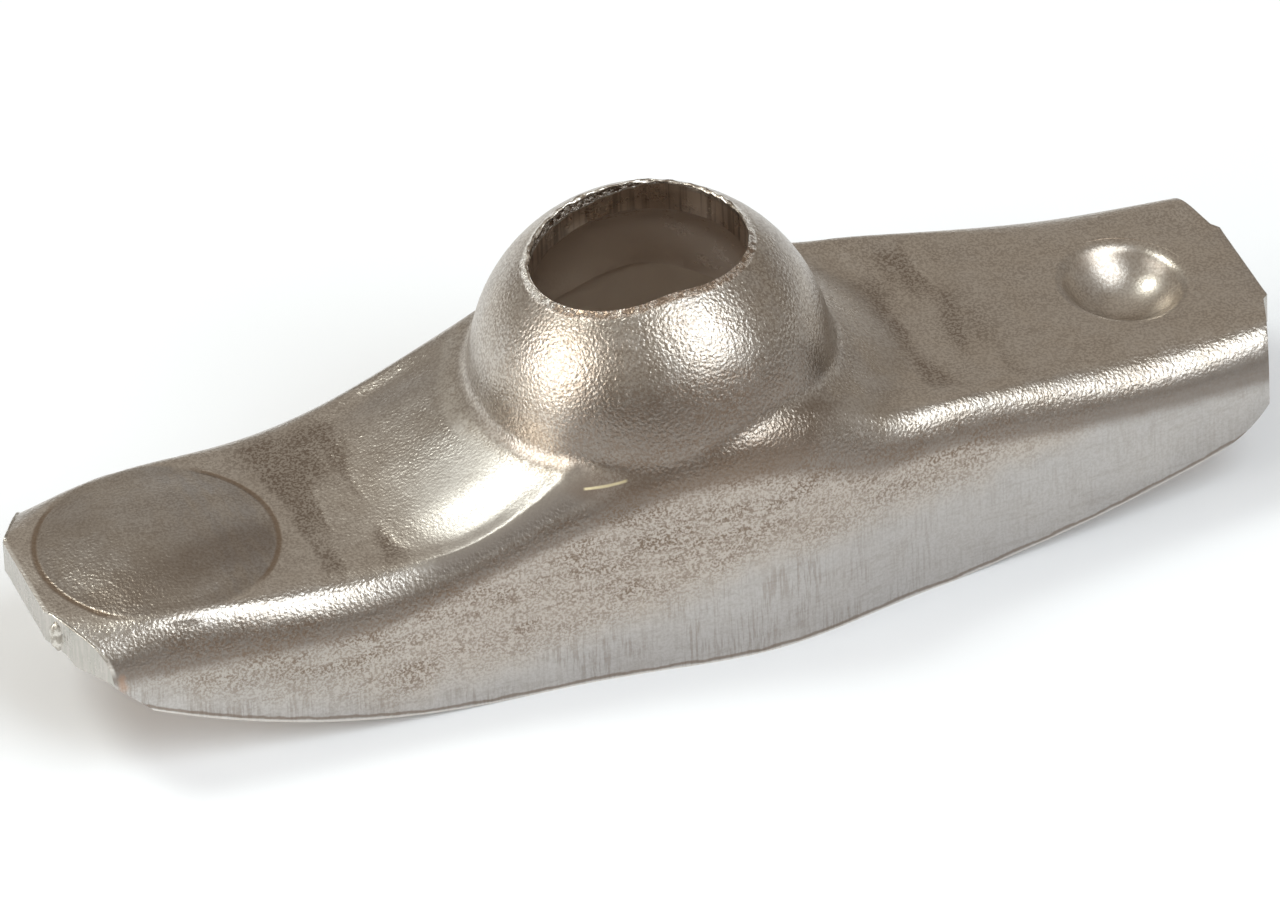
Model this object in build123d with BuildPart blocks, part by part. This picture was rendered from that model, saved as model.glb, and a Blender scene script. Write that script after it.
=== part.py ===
from build123d import *
import math
import os

# Stamped ball-pivot rocker arm, one formed sheet-steel piece.
# Frame: millimetres, +Z up.  The origin lies on the pivot axis in the plane the
# flange rims stand on.  +X runs from the valve pad towards the pushrod socket.

# ---- driving dimensions ----------------------------------------------------
sheet = 1.5                # sheet thickness
valve_reach = 27.7         # pivot axis to the valve end
rod_reach = 26.5           # pivot axis to the pushrod end

# ball seat and stud slot
ball_radius = 6.4          # spherical seat inside the dome
dome_wall = 1.2            # dome wall, drawn thinner than the sheet
seat_height = 9.7          # centre of the seat above the rims
foot_radius = 1.2          # hollow where the dome meets the collar
slot_width = 7.7           # stud slot across the arm
slot_length = 9.2          # stud slot along the arm
slot_shift = -0.4          # slot centre, towards the valve pad

# channel in plan
half_width = 7.05          # outer half width of the plain channel
plan_radius = 250.0        # barrel curve of the flanges
plan_lean = 0.0047         # the pushrod end is a little wider
dome_margin = 0.6          # flanges pushed out to clear the dome by this
bulge_x = 2.0
bulge_spread = 5.9

# bends between the top sheet and the flanges
bend_radius = 2.25
bend_soften = 0.3          # softer beside the dome
soft_spread = 5.0
bend_tighten = 0.6         # and tighter either side of it
tight_x = 10.0
tight_spread = 3.5
straight = 1.0             # start of the plain flange below each bend
least_bend = 0.45          # inner bend radius never falls below this

# top sheet: panel levels at the pivot axis, measured from the seat centre
valve_panel = -2.85
valve_rise = -0.021
rod_panel = -0.35
rod_rise = -0.095
panel_blend = 1.5          # length over which one panel passes into the other
collar_level = 1.4         # raised collar round the dome
collar_lift = 2.4          # and how much higher it is beside the dome
collar_valve = 2.5         # its reach past the dome and steepness, towards the valve pad
fall_valve = 3.0
collar_rod = 1.1           # and towards the pushrod socket
fall_rod = 6.0

# low beads along the bends, proud of the panels
valve_bead = 0.15
rod_bead = 0.45
bead_x = 11.0
bead_spread = 6.0
pad_swell = 0.45           # the bends swell up beside the valve pad
swell_spread = 3.5
end_flare = 0.6            # and turn up a little at the pushrod end
flare_x = 26.5
flare_spread = 2.6
ridge_in = 1.1             # beads' crest, in from the flange
ridge_spread = 0.9
valley = 0.35              # hollow of the panel along the bead, valve side
valley_spread = 3.0
valley_width = 0.7

# valve pad and pushrod socket
pad_x = -21.9
pad_radius = 4.95
pad_crown = 0.75
socket_x = 21.05
socket_radius = 2.9
socket_depth = 1.6
socket_lip = 0.8

# rims and trimmed corners in side view
rim_flat_valve = -8.1      # the rims touch down between these two places
rim_flat_rod = 10.4
rim_kink = 0.09            # slope of the rims just past the flat
rim_valve = (-24.3, 3.6)   # where each rim meets its trimmed corner
rim_rod = (22.6, 2.1)
corner_valve = (-26.0, 5.3)
corner_rod = (25.7, 5.0)   # top of the rounded corner at the pushrod end

# ends in plan
tab_valve = 2.45           # half widths of the straight carrier cuts
tab_rod = 2.5
slant_valve = 0.58         # slant of the end trim, x per y
slant_rod = 0.35
tab_step = 0.3

# ---- derived ---------------------------------------------------------------
dome_radius = ball_radius + dome_wall
bulge = dome_radius + dome_margin - half_width
below = 2 * sheet          # the solid channel reaches this far below the rims
run_out = 34.0             # and is drawn this far past the pivot axis, then trimmed
stations = 12              # cross-sections on each side of the pivot axis
flat_shares = (0.4, 0.75, 1)
turns = (30, 60, 90)
strides = [0.8, 1, 1, 1, 1, 1.4, 1.6]
strides += strides[::-1]
spacing = [sum(strides[:k]) / sum(strides) for k in range(len(strides) + 1)]
clear = 30.0               # outside everything, for the trimming outlines
cap_lap = 0.2              # the low caps run on past their radius and are rooted below
cap_root = 0.8


def hump(x, centre, spread):
    """Smooth rise from 0 to 1 and back, round centre."""
    return math.exp(-(((x - centre) / spread) ** 2))


def half(x):
    """Outer half width of the channel at x."""
    barrel = half_width + plan_lean * x - x * x / (2 * plan_radius)
    return barrel + bulge * hump(x, bulge_x, bulge_spread)


def bend(x):
    """Outer bend radius at x."""
    softer = bend_soften * hump(x, 0, soft_spread)
    return bend_radius + softer - bend_tighten * hump(abs(x), tight_x, tight_spread)


def bead(x):
    """Height that the bends stand proud of the panels at x."""
    sides = valve_bead * hump(x, -bead_x, bead_spread) + rod_bead * hump(x, bead_x, bead_spread)
    ends = pad_swell * hump(x, pad_x, swell_spread) + end_flare * hump(x, flare_x, flare_spread)
    return sides + ends


def crown(x, y):
    """Height of the top sheet above the rims before the bend drops it."""
    share = 1 / (1 + math.exp(-x / panel_blend))
    panel = (1 - share) * (valve_panel + valve_rise * x) + share * (rod_panel + rod_rise * x)
    reach = dome_radius + collar_valve + share * (collar_rod - collar_valve)
    fall = fall_valve + share * (fall_rod - fall_valve)
    collar = math.exp(-((math.hypot(x, y) / reach) ** fall))
    level = collar_level + collar_lift * (y / dome_radius) ** 4
    ridge = bead(x) * hump(abs(y), half(x) - ridge_in, ridge_spread)
    dip = valley * hump(x, -tight_x, valley_spread) * hump(abs(y), half(x) - bend(x), valley_width)
    return seat_height + panel + (level - panel) * collar + ridge - dip


def section(x, inset):
    """Cross-section of the solid channel at x, its skin drawn inwards by inset."""
    wide = half(x) - inset
    turn = max(bend(x) - inset, least_bend)
    flat = wide - turn
    right = [(flat * k, crown(x, flat * k) - inset) for k in flat_shares]
    for angle in turns:
        y = flat + turn * math.sin(math.radians(angle))
        drop = turn * (1 - math.cos(math.radians(angle)))
        right.append((y, crown(x, y) - inset - drop))
    right.append((wide, right[-1][1] - straight))
    left = [(-y, z) for y, z in reversed(right)]
    across = left + [(0, crown(x, 0) - inset)] + right
    foot = -below - inset
    with BuildSketch(Plane(origin=(x, 0, 0), x_dir=(0, 1, 0), z_dir=(1, 0, 0))) as cut:
        with BuildLine():
            add(Edge.make_spline(across, parameters=spacing))
            Line(across[-1], (wide, foot))
            Line((wide, foot), (-wide, foot))
            Line((-wide, foot), across[0])
        make_face()
    return cut.sketch


def sections(inset):
    """Cross-sections along the arm, closest together beside the dome."""
    places = [i / stations for i in range(-stations, stations + 1)]
    return [section((run_out + inset) * (u + u ** 3) / 2, inset) for u in places]


def along(x, panel, rise):
    """Plane through the pivot's symmetry plane at x, lying along a panel."""
    return Plane(origin=(x, 0, seat_height + panel + rise * x), x_dir=(1, 0, rise), z_dir=(0, -1, 0))


def cap_profile(radius, height, level):
    """Half profile of a low cap that stands height above level over its radius."""
    ball = (radius ** 2 + height ** 2) / (2 * height)
    rim = radius + cap_lap
    rim_level = level + height - ball + math.sqrt(ball ** 2 - rim ** 2)
    root = level - cap_root
    with BuildLine() as profile:
        TangentArc((0, level + height), (rim, rim_level), tangent=(1, 0))
        Line((rim, rim_level), (rim + cap_lap, root))
        Line((rim + cap_lap, root), (0, root))
        Line((0, root), (0, level + height))
    return profile.line


valve_plane = along(pad_x, valve_panel, valve_rise)
rod_plane = along(socket_x, rod_panel, rod_rise)

# socket: the cup's ball meets the rolled lip where their centres line up
reach_sum = socket_radius + socket_lip
lip_x = math.sqrt(reach_sum ** 2 - (reach_sum - socket_depth) ** 2)
meet_x = lip_x * socket_radius / reach_sum
meet_y = socket_radius - socket_depth - socket_radius * (reach_sum - socket_depth) / reach_sum

# boss: the same cup seen from the hollow side, one wall further out
boss_low = -socket_depth - dome_wall
boss_top = -sheet / 2
boss_wide = math.sqrt((socket_radius + dome_wall) ** 2 - (socket_radius - socket_depth - boss_top) ** 2)

# ---- the hollow side of the sheet ------------------------------------------
with BuildPart() as hollow:
    loft(sections(sheet))

# ---- the formed arm --------------------------------------------------------
with BuildPart() as rocker_arm:
    loft(sections(0))
    with Locations((0, 0, seat_height)):
        Sphere(dome_radius)
    fillet(rocker_arm.edges(Select.LAST), foot_radius)

    # valve pad, a low cap whose edge stays crisp on the panel
    with BuildSketch(valve_plane):
        with BuildLine():
            add(cap_profile(pad_radius, pad_crown, 0))
        make_face()
    revolve(axis=Axis(valve_plane.origin, valve_plane.y_dir))

    # hollow side: channel, ball seat and the recess behind the pad
    add(hollow.part, mode=Mode.SUBTRACT)
    with Locations((0, 0, seat_height)):
        Sphere(ball_radius, mode=Mode.SUBTRACT)
    with BuildSketch(valve_plane):
        with BuildLine():
            add(cap_profile(pad_radius - sheet, pad_crown, -sheet))
        make_face()
    revolve(axis=Axis(valve_plane.origin, valve_plane.y_dir), mode=Mode.SUBTRACT)

    # round boss that the socket raises on the hollow side
    with BuildSketch(rod_plane):
        with BuildLine():
            TangentArc((0, boss_low), (boss_wide, boss_top), tangent=(1, 0))
            Line((boss_wide, boss_top), (0, boss_top))
            Line((0, boss_top), (0, boss_low))
        make_face()
    revolve(axis=Axis(rod_plane.origin, rod_plane.y_dir))

    # pushrod socket pressed into the other panel
    with BuildSketch(rod_plane):
        with BuildLine():
            cup = TangentArc((0, -socket_depth), (meet_x, meet_y), tangent=(1, 0))
            TangentArc((meet_x, meet_y), (lip_x, 0), tangent=cup % 1)
            Line((lip_x, 0), (lip_x, sheet))
            Line((lip_x, sheet), (0, sheet))
            Line((0, sheet), (0, -socket_depth))
        make_face()
    revolve(axis=Axis(rod_plane.origin, rod_plane.y_dir), mode=Mode.SUBTRACT)

    # stud slot punched straight down through the dome
    with BuildSketch(Plane.XY.offset(seat_height)):
        with Locations((slot_shift, 0)):
            SlotOverall(slot_length, slot_width)
    extrude(amount=dome_radius + sheet, mode=Mode.SUBTRACT)

    # rims and lower corners trimmed in side view
    with BuildSketch(Plane.XZ):
        with BuildLine():
            Line((-clear, clear), (-clear, corner_valve[1]))
            Line((-clear, corner_valve[1]), corner_valve)
            Line(corner_valve, rim_valve)
            TangentArc((rim_flat_valve, 0), rim_valve, tangent=(-1, 0))
            Line((rim_flat_valve, 0), (rim_flat_rod, 0))
            rim = TangentArc((rim_flat_rod, 0), rim_rod, tangent=(1, rim_kink))
            TangentArc(rim_rod, corner_rod, tangent=rim % 1)
            Line(corner_rod, (clear, corner_rod[1]))
            Line((clear, corner_rod[1]), (clear, clear))
            Line((clear, clear), (-clear, clear))
        make_face()
    extrude(amount=clear, both=True, mode=Mode.INTERSECT)

    # ends trimmed in plan: a straight carrier cut and two slanting cuts
    far = half_width + bulge + sheet
    valve_slant = -valve_reach + slant_valve * (far - tab_valve)
    rod_edge = rod_reach - tab_step
    rod_slant = rod_edge - slant_rod * (far - tab_rod - tab_step)
    with BuildSketch(Plane.XY):
        with BuildLine():
            Polyline(
                (-valve_reach, -tab_valve), (-valve_reach, tab_valve), (valve_slant, far),
                (rod_slant, far), (rod_edge, tab_rod + tab_step), (rod_reach, tab_rod),
                (rod_reach, -tab_rod), (rod_edge, -tab_rod - tab_step), (rod_slant, -far),
                (valve_slant, -far), (-valve_reach, -tab_valve),
            )
        make_face()
    extrude(amount=clear, mode=Mode.INTERSECT)

rocker_arm.part.label = "rocker_arm"
os.makedirs("parts", exist_ok=True)
export_step(rocker_arm.part, "parts/rocker_arm.step")
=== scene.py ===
import math

import bmesh
import bpy
from mathutils import Matrix, Vector
from mathutils.noise import noise as noise_at


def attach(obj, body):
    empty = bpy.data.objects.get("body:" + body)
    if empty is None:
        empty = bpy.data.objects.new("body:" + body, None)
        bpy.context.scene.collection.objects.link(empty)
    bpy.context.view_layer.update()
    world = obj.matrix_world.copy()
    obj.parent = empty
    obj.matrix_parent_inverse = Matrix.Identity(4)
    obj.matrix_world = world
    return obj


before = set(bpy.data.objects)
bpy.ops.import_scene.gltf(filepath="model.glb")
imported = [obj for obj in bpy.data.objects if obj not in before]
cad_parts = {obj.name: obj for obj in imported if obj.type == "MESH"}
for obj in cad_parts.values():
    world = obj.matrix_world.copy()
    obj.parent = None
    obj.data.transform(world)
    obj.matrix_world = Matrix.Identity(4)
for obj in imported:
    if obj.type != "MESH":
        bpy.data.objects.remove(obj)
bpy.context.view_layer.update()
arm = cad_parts["rocker_arm"]

MM = 0.001

# places and sizes on the arm, in millimetres
SEAT_Z = 9.7               # centre of the ball seat
DOME_RADIUS = 7.6
SLOT_X = -0.4              # centre of the stud slot
SLOT_RADIUS = 3.85         # its round ends
SLOT_STRAIGHT = 0.75       # half of its straight sides
PAD_X = -21.9
PAD_RADIUS = 4.95
SOCKET_X = 21.05
RIM_FLAT = (-8.1, 10.4)    # the rims are flat between these
VALVE_RISE = 0.0137        # toward the pad they rise by this times the square of the way
ROD_RISE = (0.09, 0.0067)  # toward the socket, by these times the way and its square
END_X = -27.7              # cut face of the valve end
END_HALF = 2.45            # half width of its straight cut
END_SLANT = 0.58           # slant of the cuts beside it, x per y
CORNER_AT = (-27.33, -2.92, 6.50)  # middle of the torn corner
CORNER_SIZE = (0.30, 0.36, 0.72)   # its half sizes
SCRATCH_AT = (-5.58, -6.36)        # start of the scratch in plan
SCRATCH_WAY = (0.956, -0.292)      # its direction
SCRATCH_LENGTH = 1.85
SCRATCH_BOW = 0.045                # how much it bends, as a share
RUST_AT = (-25.55, 5.2)            # rust patch, as x and z

# in metres
SEAT_HEIGHT = SEAT_Z * MM
LAMP_DISTANCE = 0.6        # from the seat's centre


# ---- node helpers -----------------------------------------------------------

# sockets of a Mix node that mixes colours: the share and both colours, the mixed colour
MIX_INPUTS = (0, 6, 7)
MIX_OUTPUT = 2


def join(tree, source, target):
    """Joins an output socket to an input socket, or writes a plain value there."""
    if isinstance(source, (int, float, tuple)):
        target.default_value = source
    else:
        tree.links.new(source, target)


def calc(tree, operation, first, second=None, third=None):
    """Math node on sockets or plain numbers; gives back its output."""
    made = tree.nodes.new("ShaderNodeMath")
    made.operation = operation
    for slot, value in zip(made.inputs, (first, second, third)):
        if value is not None:
            join(tree, value, slot)
    return made.outputs[0]


def span(tree, value, low, high, to_low=0.0, to_high=1.0):
    """Smoothly remaps a value from low..high to to_low..to_high, clamped."""
    made = tree.nodes.new("ShaderNodeMapRange")
    made.interpolation_type = "SMOOTHSTEP"
    for name, given in zip(("Value", "From Min", "From Max", "To Min", "To Max"),
                           (value, low, high, to_low, to_high)):
        join(tree, given, made.inputs[name])
    return made.outputs["Result"]


def band(tree, value, centre, reach, fade):
    """Mask that is 1 within reach of a centre and fades to 0 over fade."""
    off = calc(tree, "ABSOLUTE", calc(tree, "SUBTRACT", value, centre))
    return span(tree, off, reach + fade, reach)


def both(tree, *masks):
    """Product of masks."""
    out = masks[0]
    for mask in masks[1:]:
        out = calc(tree, "MULTIPLY", out, mask)
    return out


def blend(tree, share, first, second):
    """Mixes two colours by a share; each is a socket or a colour."""
    made = tree.nodes.new("ShaderNodeMix")
    made.data_type = "RGBA"
    for slot, value in zip(MIX_INPUTS, (share, first, second)):
        join(tree, value, made.inputs[slot])
    return made.outputs[MIX_OUTPUT]


def without(tree, mask):
    """Mask of all that a mask leaves."""
    return calc(tree, "SUBTRACT", 1.0, mask)


def weaken(tree, value, mask, share):
    """Takes a share of a value away where a mask lies."""
    return calc(tree, "MULTIPLY", value, calc(tree, "MULTIPLY_ADD", mask, -share, 1.0))


def paint(tree, base, mask, share, colour):
    """Lays a colour over a base, by a share of a mask."""
    return blend(tree, calc(tree, "MULTIPLY", mask, share), base, colour)


def noise(tree, where, scale, detail, rough, stretch=(1, 1, 1)):
    """Noise with about scale features to the millimetre; gives back the factor."""
    if stretch != (1, 1, 1):
        aim = tree.nodes.new("ShaderNodeMapping")
        join(tree, stretch, aim.inputs["Scale"])
        join(tree, where, aim.inputs["Vector"])
        where = aim.outputs["Vector"]
    made = tree.nodes.new("ShaderNodeTexNoise")
    join(tree, scale, made.inputs["Scale"])
    join(tree, detail, made.inputs["Detail"])
    join(tree, rough, made.inputs["Roughness"])
    join(tree, where, made.inputs["Vector"])
    return made.outputs["Fac"]


def reach(tree, *parts):
    """Length of a vector given by its parts."""
    square = calc(tree, "MULTIPLY", parts[0], parts[0])
    for part in parts[1:]:
        square = calc(tree, "MULTIPLY_ADD", part, part, square)
    return calc(tree, "SQRT", square)


def new_material(name, metallic=0.0):
    """Material, with its node tree and its shader."""
    made = bpy.data.materials.new(name)
    made.use_nodes = True
    shader = made.node_tree.nodes["Principled BSDF"]
    shader.inputs["Metallic"].default_value = metallic
    return made, made.node_tree, shader


def add_relief(tree, shader, height, depth):
    """Bumps a shader's surface by a height; a height of 1 stands for depth millimetres."""
    bump = tree.nodes.new("ShaderNodeBump")
    bump.inputs["Strength"].default_value = 1.0
    bump.inputs["Distance"].default_value = depth * MM
    join(tree, height, bump.inputs["Height"])
    join(tree, bump.outputs["Normal"], shader.inputs["Normal"])


def millimetres(tree):
    """Object coordinates in millimetres, whole and as x, y, z."""
    coords = tree.nodes.new("ShaderNodeTexCoord")
    size = tree.nodes.new("ShaderNodeVectorMath")
    size.operation = "SCALE"
    size.inputs["Scale"].default_value = 1000
    join(tree, coords.outputs["Object"], size.inputs[0])
    parts = tree.nodes.new("ShaderNodeSeparateXYZ")
    join(tree, size.outputs[0], parts.inputs[0])
    return (size.outputs[0], *parts.outputs)


# ---- steel ------------------------------------------------------------------

BROWN = (0.55, 0.493, 0.425, 1)
GREY = (0.57, 0.535, 0.495, 1)
DARK = (0.21, 0.155, 0.115, 1)
PALE = (0.65, 0.63, 0.60, 1)
COOL = (0.485, 0.47, 0.46, 1)
SCALE_BROWN = (0.655, 0.545, 0.45, 1)
BRIGHT = (0.92, 0.88, 0.82, 1)
SHEARED = (0.49, 0.475, 0.43, 1)
TORN_DARK = (0.26, 0.21, 0.165, 1)
TORN_BRIGHT = (0.88, 0.83, 0.75, 1)
GOLD = (0.95, 0.84, 0.55, 1)
ROSE = (0.50, 0.445, 0.395, 1)
PANEL = (0.76, 0.68, 0.585, 1)
LIP = (0.36, 0.26, 0.19, 1)
SHADE = (0.21, 0.18, 0.155, 1)
GROOVE = (0.25, 0.165, 0.10, 1)
RUST = (0.46, 0.29, 0.20, 1)

# the grain that formed and torn metal share: a mask of close-set flecks,
# and a height for the skin between them
metal_grain = bpy.data.node_groups.new("metal_grain", "ShaderNodeTree")
metal_grain.interface.new_socket("Place", in_out="INPUT", socket_type="NodeSocketVector")
for label in ("Fleck Size", "Fleck Low", "Fleck High", "Skin Size"):
    metal_grain.interface.new_socket(label, in_out="INPUT", socket_type="NodeSocketFloat")
for label in ("Flecks", "Height"):
    metal_grain.interface.new_socket(label, in_out="OUTPUT", socket_type="NodeSocketFloat")
given = metal_grain.nodes.new("NodeGroupInput").outputs
result = metal_grain.nodes.new("NodeGroupOutput").inputs
join(metal_grain, span(metal_grain, noise(metal_grain, given["Place"], given["Fleck Size"], 5, 0.75),
                       given["Fleck Low"], given["Fleck High"]), result["Flecks"])
join(metal_grain, noise(metal_grain, given["Place"], given["Skin Size"], 1, 0.4), result["Height"])


def grain(tree, where, fleck_size, low, high, skin_size):
    """Places the shared grain in a material; gives back its flecks and its height."""
    made = tree.nodes.new("ShaderNodeGroup")
    made.node_tree = metal_grain
    for name, value in (("Place", where), ("Fleck Size", fleck_size), ("Fleck Low", low),
                        ("Fleck High", high), ("Skin Size", skin_size)):
        join(tree, value, made.inputs[name])
    return made.outputs["Flecks"], made.outputs["Height"]


steel, tree, shader = new_material("formed_steel", metallic=1.0)
place, px, py, pz = millimetres(tree)
side = calc(tree, "ABSOLUTE", py)
geometry = tree.nodes.new("ShaderNodeNewGeometry")
slopes = tree.nodes.new("ShaderNodeSeparateXYZ")
join(tree, geometry.outputs["Normal"], slopes.inputs[0])
nx, ny, nz = slopes.outputs

# where a point lies: from the ball's centre, the slot's outline, the pad, the socket, the rims
seat_z = calc(tree, "SUBTRACT", pz, SEAT_Z)
from_ball = reach(tree, px, py, seat_z)
slot_x = calc(tree, "ABSOLUTE", calc(tree, "ADD", px, -SLOT_X))
slot_x = calc(tree, "MAXIMUM", calc(tree, "SUBTRACT", slot_x, SLOT_STRAIGHT), 0)
from_slot = calc(tree, "SUBTRACT", reach(tree, slot_x, py), SLOT_RADIUS)
from_pad = reach(tree, calc(tree, "SUBTRACT", px, PAD_X), py)
from_socket = reach(tree, calc(tree, "SUBTRACT", px, SOCKET_X), py)
past_valve = calc(tree, "MAXIMUM", calc(tree, "SUBTRACT", RIM_FLAT[0], px), 0)
past_rod = calc(tree, "MAXIMUM", calc(tree, "SUBTRACT", px, RIM_FLAT[1]), 0)
rim = calc(tree, "MULTIPLY", calc(tree, "MULTIPLY", past_valve, past_valve), VALVE_RISE)
rim = calc(tree, "MULTIPLY_ADD", past_rod, ROD_RISE[0], rim)
rim = calc(tree, "MULTIPLY_ADD", calc(tree, "MULTIPLY", past_rod, past_rod), ROD_RISE[1], rim)
height = calc(tree, "SUBTRACT", pz, rim)

# zones: the seat and the hollow side, the flanges and their burnished band, the bends that take painted
# shade, the socket's cup
inside = span(tree, from_ball, DOME_RADIUS - 0.15, DOME_RADIUS - 0.35)
hollow = calc(tree, "MAXIMUM", span(tree, calc(tree, "MULTIPLY", ny, py), -1, -3),
              both(tree, span(tree, nz, -0.2, -0.5), span(tree, height, 0.2, 0.5)))
inside = calc(tree, "MAXIMUM", inside, hollow)
flange = both(tree, span(tree, calc(tree, "ABSOLUTE", ny), 0.75, 0.95), span(tree, side, 4.8, 5.4))
sway = noise(tree, place, 0.35, 3, 0.6, stretch=(1, 1, 0.4))
wave = noise(tree, place, 1.1, 3, 0.6)
sway = calc(tree, "MULTIPLY_ADD", sway, 2.4, -1.2)
burnish_top = calc(tree, "ADD", span(tree, px, -15.0, 6.0, 1.5, 5.3), sway)
burnish = both(tree, flange, span(tree, calc(tree, "SUBTRACT", burnish_top, height), -1.3, 1.6))
painted_bend_shade = both(tree, span(tree, nz, 0.03, 0.2), span(tree, nz, 0.65, 0.35), span(tree, side, 4.0, 5.2))
cup = both(tree, span(tree, from_socket, 3.3, 2.4), span(tree, pz, 4.0, 5.0))

# tone: broad mottling between brown and grey, cooler on the burnished band
mottle = span(tree, noise(tree, place, 0.45, 4, 0.62), 0.38, 0.62)
tone = paint(tree, BROWN, mottle, 0.55, GREY)
tone = paint(tree, tone, burnish, 0.8, COOL)

# paler valve side, tan level panels, streaked pad with painted shade on its near and outer side and in its
# trough
lighter = span(tree, px, -4.0, -9.0)
pad_level = span(tree, pz, 5.0, 6.0)
on_pad = both(tree, span(tree, from_pad, PAD_RADIUS + 0.15, PAD_RADIUS - 0.15), pad_level)
lighter = weaken(tree, lighter, on_pad, 0.6)
tone = paint(tree, tone, lighter, 0.25, PALE)
facing_up = span(tree, nz, 0.90, 0.99)
level_panel = both(tree, facing_up, without(tree, on_pad))
tone = paint(tree, tone, level_panel, 0.5, PANEL)
pad_streak = span(tree, noise(tree, place, 1.6, 3, 0.6, stretch=(1, 0.35, 1)), 0.40, 0.62, 0.0, 0.55)
tone = blend(tree, both(tree, on_pad, span(tree, px, -22.0, -19.5), pad_streak), tone, COOL)
pad_shade = calc(tree, "MAXIMUM", span(tree, py, 0.6, -1.4), span(tree, px, -22.6, -24.6))
pad_shade = both(tree, on_pad, pad_shade)
tone = paint(tree, tone, pad_shade, 0.22, DARK)
trough_shade = both(tree, band(tree, calc(tree, "MULTIPLY_ADD", px, -0.22, py), 2.35, 0.35, 1.2),
              span(tree, from_pad, PAD_RADIUS, PAD_RADIUS - 0.25), pad_level)
tone = paint(tree, tone, trough_shade, 0.38, DARK)

# grain: close-set dark flecks, strongest high on the flanges, which are warmer toward the socket
# and darker beside the pad; painted shade on the bends between them and the panels
flecks, peel = grain(tree, place, 8.5, 0.56, 0.43, 7.5)
fine = noise(tree, place, 8.5, 2, 0.6)
fines = span(tree, fine, 0.54, 0.45)
on_dome = both(tree, span(tree, from_ball, DOME_RADIUS + 1.2, DOME_RADIUS + 0.6), span(tree, pz, 8.5, 9.5))
high_flange = both(tree, flange, without(tree, burnish))
rosy = both(tree, high_flange, span(tree, px, -19.0, -10.0, 0.1, 0.8))
tone = blend(tree, rosy, tone, ROSE)
valve_flange = both(tree, high_flange, span(tree, px, -12.0, -18.0))
tone = paint(tree, tone, valve_flange, 0.25, SHADE)
tone = paint(tree, tone, painted_bend_shade, 0.82, SHADE)
streak = span(tree, noise(tree, place, 1.1, 4, 0.65, stretch=(0.35, 1, 1)), 0.38, 0.62, 0.45, 1.25)
share = calc(tree, "MULTIPLY", calc(tree, "MULTIPLY_ADD", high_flange, 0.55, 0.24), streak)
share = weaken(tree, share, burnish, 0.85)
tone = paint(tree, tone, flecks, share, DARK)
fine_share = calc(tree, "MULTIPLY_ADD", on_dome, 0.18, calc(tree, "MULTIPLY_ADD", burnish, -0.12, 0.22))
tone = paint(tree, tone, fines, fine_share, DARK)

# draw lines down the burnished band, and fainter ones along the flange
draw = noise(tree, place, 8.5, 3, 0.6, stretch=(1, 1, 0.07))
lines = both(tree, span(tree, draw, 0.54, 0.40), burnish)
patchy = span(tree, noise(tree, place, 0.5, 2, 0.5), 0.40, 0.58, 0.3, 1.0)
lines = calc(tree, "MULTIPLY", lines, patchy)
lines = calc(tree, "MULTIPLY", lines, span(tree, px, 12.0, 3.0, 0.35, 1.0))
tone = paint(tree, tone, lines, 0.36, DARK)
drag = span(tree, noise(tree, place, 3.0, 3, 0.65, stretch=(0.12, 1, 1)), 0.46, 0.36)
tone = blend(tree, both(tree, drag, flange, 0.12), tone, DARK)

# folds across the panels, beside the collar
fold = noise(tree, place, 0.55, 2, 0.5, stretch=(1, 0.25, 0.4))
fold_zone = calc(tree, "ADD", band(tree, px, -14.6, 1.6, 1.6), band(tree, px, 12.2, 1.2, 1.6))
fold_zone = both(tree, fold_zone, span(tree, nz, 0.7, 0.9), span(tree, side, 5.6, 4.2))
folds = both(tree, span(tree, fold, 0.42, 0.60), fold_zone)
fold_tone = both(tree, folds, calc(tree, "MULTIPLY_ADD", fines, 0.45, 0.3))
tone = blend(tree, fold_tone, tone, DARK)

# smoother skin on the collar's near slope, painted paler as a painted highlight where the lamp's pool
# falls; smooth foot of the dome; painted shade in the crease of the near bend
crease_shade = both(tree, span(tree, px, -4.4, -5.6), span(tree, px, -13.5, -11.5), span(tree, ny, -0.15, -0.30),
              span(tree, nz, 0.45, 0.6), span(tree, side, 5.2, 5.6))
matt_and_painted_sheen = both(tree, span(tree, px, -2.5, -5.0), span(tree, px, -14.0, -10.0), span(tree, py, 1.0, -3.0),
            span(tree, nz, 0.6, 0.8), span(tree, from_ball, 8.1, 8.6))
tone = paint(tree, tone, matt_and_painted_sheen, 0.45, PALE)
foot_ring = both(tree, band(tree, from_ball, 8.3, 0.4, 0.4), span(tree, px, -2.0, -4.0))
smooth = calc(tree, "MAXIMUM", matt_and_painted_sheen, foot_ring)
tone = paint(tree, tone, crease_shade, 0.9, SHADE)

# painted shade on the side of the dome toward the socket
dome_side_shade = both(tree, on_dome, span(tree, nx, 0.40, 0.75))
tone = paint(tree, tone, dome_side_shade, 0.28, SHADE)

# painted shade round the foot of the dome, dimming the highlight there
foot_shade = both(tree, band(tree, from_ball, 8.25, 0.25, 0.55), span(tree, side, 5.6, 6.6),
            span(tree, px, 6.5, 4.5), span(tree, pz, 8.6, 9.6))
tone = paint(tree, tone, foot_shade, 0.55, DARK)

# brown line in the groove round the pad
groove = both(tree, band(tree, from_pad, PAD_RADIUS + 0.07, 0.05, 0.14), pad_level,
              span(tree, side, 4.4, 3.4), span(tree, nz, 0.5, 0.7))
tone = paint(tree, tone, groove, 0.7, GROOVE)

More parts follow.
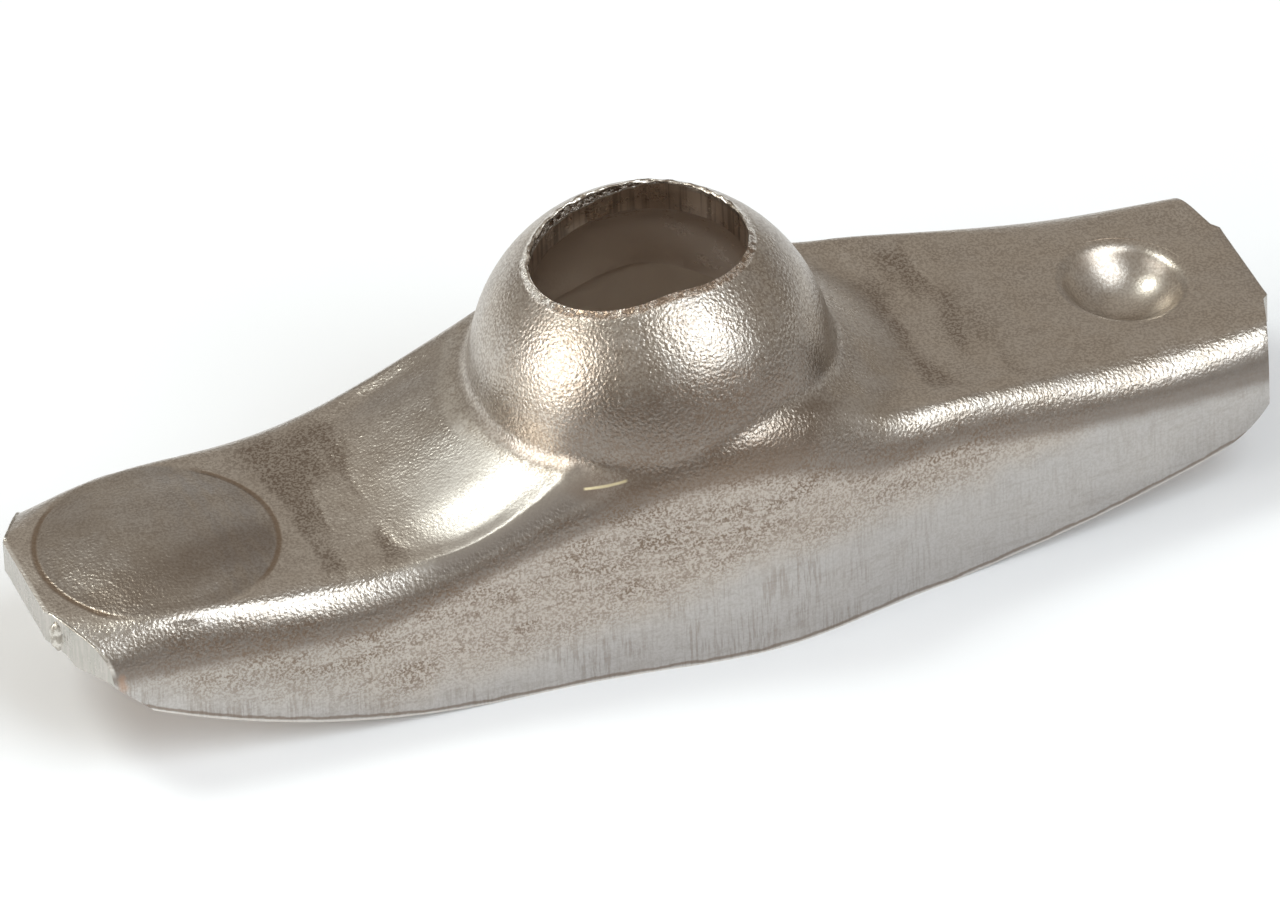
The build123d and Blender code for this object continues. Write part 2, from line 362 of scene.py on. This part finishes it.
# slot wall and seat: brown heat scale, fine lines down the wall
tone = blend(tree, inside, tone, SCALE_BROWN)
wall = both(tree, band(tree, from_slot, 0, 0.1, 0.1), span(tree, pz, 13.0, 13.5))
broach = span(tree, noise(tree, place, 3.2, 2, 0.6, stretch=(1, 1, 0.04)), 0.45, 0.60)
tone = blend(tree, both(tree, wall, broach, 0.5), tone, DARK)
aside = calc(tree, "MULTIPLY_ADD", px, px, calc(tree, "MULTIPLY", py, py))
top = calc(tree, "SQRT", calc(tree, "SUBTRACT", DOME_RADIUS ** 2, aside))
under_rim = calc(tree, "SUBTRACT", top, seat_z)
tear = noise(tree, place, 1.3, 3, 0.65)
tear_depth = calc(tree, "MULTIPLY_ADD", tear, 0.30, span(tree, px, 3.0, -2.0, -0.08, 0.42))
at_wall = both(tree, span(tree, from_slot, 0.35, 0.2), span(tree, pz, 12.5, 13.0))
below_tear = calc(tree, "SUBTRACT", under_rim, tear_depth)
torn = both(tree, at_wall, span(tree, below_tear, 0.03, -0.03))
speckle = span(tree, noise(tree, place, 4.0, 3, 0.7), 0.45, 0.60)
tone = paint(tree, tone, torn, 0.8, blend(tree, speckle, DARK, BRIGHT))
lip = both(tree, at_wall, calc(tree, "MAXIMUM", band(tree, below_tear, 0, 0.02, 0.05),
                               span(tree, under_rim, 0.16, 0.06)))
tone = paint(tree, tone, lip, span(tree, py, -1.5, -2.5, 0, 0.6), LIP)
tone = paint(tree, tone, lip, span(tree, py, -2.0, 1.0, 0, 0.9), BRIGHT)

# thin bright scratch on the collar
scratch_x = calc(tree, "SUBTRACT", px, SCRATCH_AT[0])
scratch_y = calc(tree, "SUBTRACT", py, SCRATCH_AT[1])
way_x, way_y = SCRATCH_WAY
scratch_run = calc(tree, "MULTIPLY_ADD", scratch_x, way_x, calc(tree, "MULTIPLY", scratch_y, way_y))
scratch_off = calc(tree, "MULTIPLY_ADD", scratch_x, -way_y, calc(tree, "MULTIPLY", scratch_y, way_x))
bow = calc(tree, "MULTIPLY", calc(tree, "SUBTRACT", scratch_run, SCRATCH_LENGTH), -SCRATCH_BOW)
scratch_off = calc(tree, "MULTIPLY_ADD", scratch_run, bow, scratch_off)
scratch = both(tree, band(tree, scratch_run, 0.95, 0.8, 0.15), band(tree, scratch_off, 0, 0.015, 0.04),
               span(tree, nz, 0.2, 0.35))
tone = paint(tree, tone, scratch, 0.8, GOLD)

# sheared ends: pale, with fine lines down the cut and a painted highlight along the upper edge at the
# valve end
sheared = both(tree, span(tree, calc(tree, "ABSOLUTE", nx), 0.5, 0.8),
               span(tree, calc(tree, "ABSOLUTE", px), 24.0, 24.6))
cut_lines = span(tree, noise(tree, place, 8.0, 3, 0.6, stretch=(1, 1, 0.08)), 0.36, 0.64)
tone = blend(tree, sheared, tone, blend(tree, cut_lines, SHEARED, GREY))
past_half = calc(tree, "MAXIMUM", calc(tree, "SUBTRACT", side, END_HALF), 0)
past_cut = calc(tree, "SUBTRACT", calc(tree, "ADD", px, -END_X),
                calc(tree, "MULTIPLY", past_half, END_SLANT))
arris_highlight = both(tree, span(tree, past_cut, 0.22, 0.10), span(tree, nz, 0.15, 0.35))
tone = paint(tree, tone, arris_highlight, 0.85, BRIGHT)

# rust at the near corner of the valve end
rust_patch = reach(tree, calc(tree, "SUBTRACT", px, RUST_AT[0]),
                   calc(tree, "MULTIPLY", calc(tree, "SUBTRACT", pz, RUST_AT[1]), 0.5))
rust_patch = calc(tree, "MULTIPLY_ADD", wave, 0.6, rust_patch)
rust = both(tree, span(tree, rust_patch, 0.60, 0.40), span(tree, ny, -0.3, -0.6))
tone = paint(tree, tone, rust, 0.6, RUST)

# brown line and bright edge along the rims
rim_line = both(tree, flange, band(tree, calc(tree, "MULTIPLY_ADD", wave, 0.3, height), 0.33, 0.03, 0.09))
tone = paint(tree, tone, rim_line, 0.7, DARK)
rim_edge = span(tree, height, 0.12, 0.05)
tone = blend(tree, both(tree, rim_edge, span(tree, side, 4.0, 4.5), 0.5), tone, BRIGHT)
join(tree, tone, shader.inputs["Base Color"])

# gloss: duller where each mask lies
worn = noise(tree, place, 0.9, 3, 0.6)
gloss = span(tree, worn, 0.3, 0.7, 0.25, 0.31)
facing_up = both(tree, facing_up, without(tree, cup))
for mask, added in ((facing_up, 0.04), (smooth, 0.10), (crease_shade, 0.20), (cup, 0.05), (flange, 0.08),
                    (flecks, 0.04)):
    gloss = calc(tree, "MULTIPLY_ADD", mask, added, gloss)
join(tree, gloss, shader.inputs["Roughness"])

# relief: orange peel, draw lines, folds, groove, torn wall and cut lines
strength = calc(tree, "MULTIPLY_ADD", on_dome, 0.2, calc(tree, "MULTIPLY_ADD", burnish, -0.75, 1.0))
for mask, taken in ((smooth, 0.75), (cup, 0.8), (inside, 0.8)):
    strength = weaken(tree, strength, mask, taken)
relief = calc(tree, "MULTIPLY", peel, strength)
for mask, added in ((lines, -0.25), (folds, -1.2), (groove, -0.8), (both(tree, torn, speckle), 1.5),
                    (both(tree, sheared, cut_lines), 0.5)):
    relief = calc(tree, "MULTIPLY_ADD", mask, added, relief)
add_relief(tree, shader, relief, 0.028)
arm.data.materials.clear()
arm.data.materials.append(steel)

# bright torn metal: the slot's lip, browner in front, the torn corner and the burrs
torn_metal, edge_tree, edge_shader = new_material("torn_edge", metallic=1.0)
at, at_x, at_y, _ = millimetres(edge_tree)
smear, rough_skin = grain(edge_tree, at, 2.2, 0.43, 0.60, 6.0)
edge_tone = blend(edge_tree, smear, TORN_DARK, TORN_BRIGHT)
corner_tone = span(edge_tree, at_x, -20.0, -24.0, 0, 0.5)
edge_tone = blend(edge_tree, corner_tone, edge_tone, SHEARED)
front_lip = both(edge_tree, span(edge_tree, at_y, -0.5, -2.5, 0, 0.8), span(edge_tree, at_x, -9.0, -7.0))
edge_tone = blend(edge_tree, front_lip, edge_tone, LIP)
join(edge_tree, edge_tone, edge_shader.inputs["Base Color"])
join(edge_tree, span(edge_tree, smear, 0, 1, 0.42, 0.24), edge_shader.inputs["Roughness"])
add_relief(edge_tree, edge_shader, rough_skin, 0.02)


def piece(name, shape, material):
    """Turns a bmesh into a piece that rides on the arm."""
    for face in shape.faces:
        face.smooth = True
    mesh = bpy.data.meshes.new(name)
    shape.to_mesh(mesh)
    shape.free()
    mesh.materials.append(material)
    made = bpy.data.objects.new(name, mesh)
    bpy.context.collection.objects.link(made)
    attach(made, "root")


# softened edges of the pressed solid
weld = arm.modifiers.new("weld", "WELD")
weld.merge_threshold = 0.002 * MM
soften = arm.modifiers.new("soften", "BEVEL")
soften.limit_method = "ANGLE"
soften.angle_limit = math.radians(35)
soften.width = 0.12 * MM
soften.segments = 2

# ---- torn lip of the slot, torn corner, burrs -------------------------------

def slot_edge(turn):
    """Point on the slot's outline at a share of the way round, and the way out from it."""
    arc = math.pi * SLOT_RADIUS
    straight = 2 * SLOT_STRAIGHT
    way = (turn % 1.0) * (2 * arc + 2 * straight)
    quarter = arc / 2
    if way < quarter:
        angle, shift = way / SLOT_RADIUS, SLOT_STRAIGHT
    elif way < quarter + straight:
        return (SLOT_STRAIGHT - (way - quarter) + SLOT_X, SLOT_RADIUS), (0.0, 1.0)
    elif way < quarter + straight + arc:
        angle, shift = (way - straight) / SLOT_RADIUS, -SLOT_STRAIGHT
    elif way < quarter + 2 * straight + arc:
        return (-SLOT_STRAIGHT + (way - quarter - straight - arc) + SLOT_X, -SLOT_RADIUS), (0.0, -1.0)
    else:
        angle, shift = (way - 2 * straight) / SLOT_RADIUS, SLOT_STRAIGHT
    out = (math.cos(angle), math.sin(angle))
    return (SLOT_RADIUS * out[0] + shift + SLOT_X, SLOT_RADIUS * out[1]), out


# slot lip: a thin ring, laid along the slot's outline on the dome and roughened at the back
ring = bmesh.new()
upright = Matrix.Translation((1, 0, 0)) @ Matrix.Rotation(math.pi / 2, 4, "X")
bmesh.ops.create_circle(ring, segments=8, radius=0.1, matrix=upright)
bmesh.ops.spin(ring, geom=ring.verts[:] + ring.edges[:], cent=(0, 0, 0), axis=(0, 0, 1), dvec=(0, 0, 0),
               angle=2 * math.pi, steps=280, use_merge=True)
bmesh.ops.recalc_face_normals(ring, faces=ring.faces)
for corner in ring.verts:
    turn = math.atan2(corner.co.y, corner.co.x) / (2 * math.pi)
    off = math.hypot(corner.co.x, corner.co.y) - 1
    (x, y), out = slot_edge(turn)
    rough_x = 0.5 + 0.5 * noise_at(Vector((x * 1.4, y * 1.4, 3)))
    ragged = max(0.0, min(1.0, (y + 1.5) / 3.0))
    size = 0.20 + ragged * (0.22 + 0.75 * rough_x)
    stray = ragged * 0.10 * noise_at(Vector((x * 2.6, y * 2.6, corner.co.z * 9 + 5)))
    x += out[0] * (off * size + 0.02 + stray)
    y += out[1] * (off * size + 0.02 + stray)
    on_edge, _ = slot_edge(turn)
    level_z = SEAT_Z + math.sqrt(DOME_RADIUS ** 2 - on_edge[0] ** 2 - on_edge[1] ** 2)
    z = level_z - 0.06 + corner.co.z * size + ragged * 0.08 * noise_at(Vector((x * 3.1, y * 3.1, 11)))
    corner.co = Vector((x, y, z)) * MM
piece("slot_lip", ring, torn_metal)

# torn corner: a dented nub at the near corner of the cut face
nub = bmesh.new()
bmesh.ops.create_icosphere(nub, subdivisions=4, radius=1.0)
for corner in nub.verts:
    shape = corner.co.normalized()
    bulk = 1 + 0.22 * noise_at(shape * 1.7) + 0.10 * noise_at(shape * 4.5)
    dent = math.exp(-((shape - Vector((-0.55, -0.75, 0.1))).length / 0.45) ** 2)
    shape = shape * (bulk - 0.35 * dent)
    corner.co = Vector([middle + half * way
                        for middle, half, way in zip(CORNER_AT, CORNER_SIZE, shape)]) * MM
piece("torn_corner", nub, torn_metal)

# thin burrs on the edges of the slanting cuts at the valve end
BURR_FROM, BURR_TO, BURR_STEPS = 2.6, 5.25, 35
bpy.context.view_layer.update()
for name, way in (("near_burr", -1), ("far_burr", 1)):
    line = bpy.data.curves.new(name, "CURVE")
    line.dimensions = "3D"
    line.bevel_depth = 0.085 * MM
    line.bevel_resolution = 2
    run = line.splines.new("POLY")
    run.points.add(BURR_STEPS)
    for step, point in enumerate(run.points):
        along = BURR_FROM + (BURR_TO - BURR_FROM) * step / BURR_STEPS
        start = Vector((END_X + END_SLANT * (along - END_HALF) + 0.06, way * along, 20)) * MM
        _, found, _, _ = arm.ray_cast(start, Vector((0, 0, -1)))
        stray = 0.03 * MM * noise_at(found / MM * 1.8)
        point.co = (found.x, found.y, found.z - 0.01 * MM + stray, 1)
        point.radius = 0.75 + 0.5 * noise_at(found / MM * 1.1)
    guide = bpy.data.objects.new(name + "_line", line)
    bpy.context.collection.objects.link(guide)
    bpy.context.view_layer.update()
    tube = bmesh.new()
    settled = guide.evaluated_get(bpy.context.evaluated_depsgraph_get())
    tube.from_mesh(bpy.data.meshes.new_from_object(settled))
    bpy.data.objects.remove(guide)
    bmesh.ops.holes_fill(tube, edges=tube.edges[:])
    piece(name, tube, torn_metal)

# ---- floor, light -----------------------------------------------------------

world = bpy.data.worlds.new("studio")
bpy.context.scene.world = world
world.use_nodes = True
soft = world.node_tree.nodes["Background"]
soft.inputs["Color"].default_value = (1.0, 0.92, 0.83, 1)
soft.inputs["Strength"].default_value = 0.385

bpy.ops.mesh.primitive_plane_add(size=3, location=(0, 0, 0))
floor = bpy.context.object
floor.name = "floor"
paper, _, paper_shader = new_material("paper")
paper_shader.inputs["Base Color"].default_value = (0.955, 0.965, 0.985, 1)
paper_shader.inputs["Roughness"].default_value = 1.0
paper_shader.inputs["Specular IOR Level"].default_value = 0.0
floor.data.materials.append(paper)


def lamp(name, direction, wide, tall, power, colour):
    """Rectangular area lamp that faces the seat centre from a direction."""
    data = bpy.data.lights.new(name, "AREA")
    data.shape = "RECTANGLE"
    data.size = wide
    data.size_y = tall
    data.energy = power
    data.color = colour
    made = bpy.data.objects.new(name, data)
    bpy.context.collection.objects.link(made)
    toward = Vector(direction).normalized()
    made.location = Vector((0, 0, SEAT_HEIGHT)) + toward * LAMP_DISTANCE
    made.rotation_euler = toward.to_track_quat("Z", "Y").to_euler()


lamp("left_lamp", (-0.941, -0.050, 0.339), 0.37, 0.37, 1.75, (1.0, 0.99, 0.95))
lamp("front_lamp", (0.330, -0.570, 0.750), 0.36, 0.54, 2.25, (0.86, 0.94, 1.0))
lamp("back_lamp", (-0.440, 0.310, 0.843), 0.15, 0.18, 1.05, (0.94, 1.0, 0.97))

# ---- camera -----------------------------------------------------------------

turn = math.radians(-20.163)
lift = math.radians(38.450)
roll = math.radians(-2.330)
view_width, view_height = 1280, 900    # in pixels, as are the next three
focal = 15514.22
seat_right = 11.861                    # the seat's centre, right of the view's middle
seat_down = 363.456                    # and down from its top
unit = 0.0412 * MM                     # width of a pixel at the seat's centre
far = focal * unit
back = Vector((math.sin(turn) * math.cos(lift), -math.cos(turn) * math.cos(lift), math.sin(lift)))
level = Vector((math.cos(turn), math.sin(turn), 0))
rise = back.cross(level)
across = level * math.cos(roll) + rise * math.sin(roll)
upward = rise * math.cos(roll) - level * math.sin(roll)
eye = Vector((0, 0, SEAT_HEIGHT)) + back * far
eye = eye - across * (seat_right * unit) + upward * ((seat_down - view_height / 2) * unit)
lens = bpy.data.cameras.new("camera")
lens.sensor_width = 36
lens.lens = lens.sensor_width * focal / view_width
lens.clip_start = 0.01
lens.clip_end = 10
camera = bpy.data.objects.new("camera", lens)
bpy.context.collection.objects.link(camera)
camera.matrix_world = Matrix((
    (across.x, upward.x, back.x, eye.x),
    (across.y, upward.y, back.y, eye.y),
    (across.z, upward.z, back.z, eye.z),
    (0, 0, 0, 1),
))
bpy.context.scene.camera = camera
bpy.context.scene.view_settings.view_transform = "Standard"
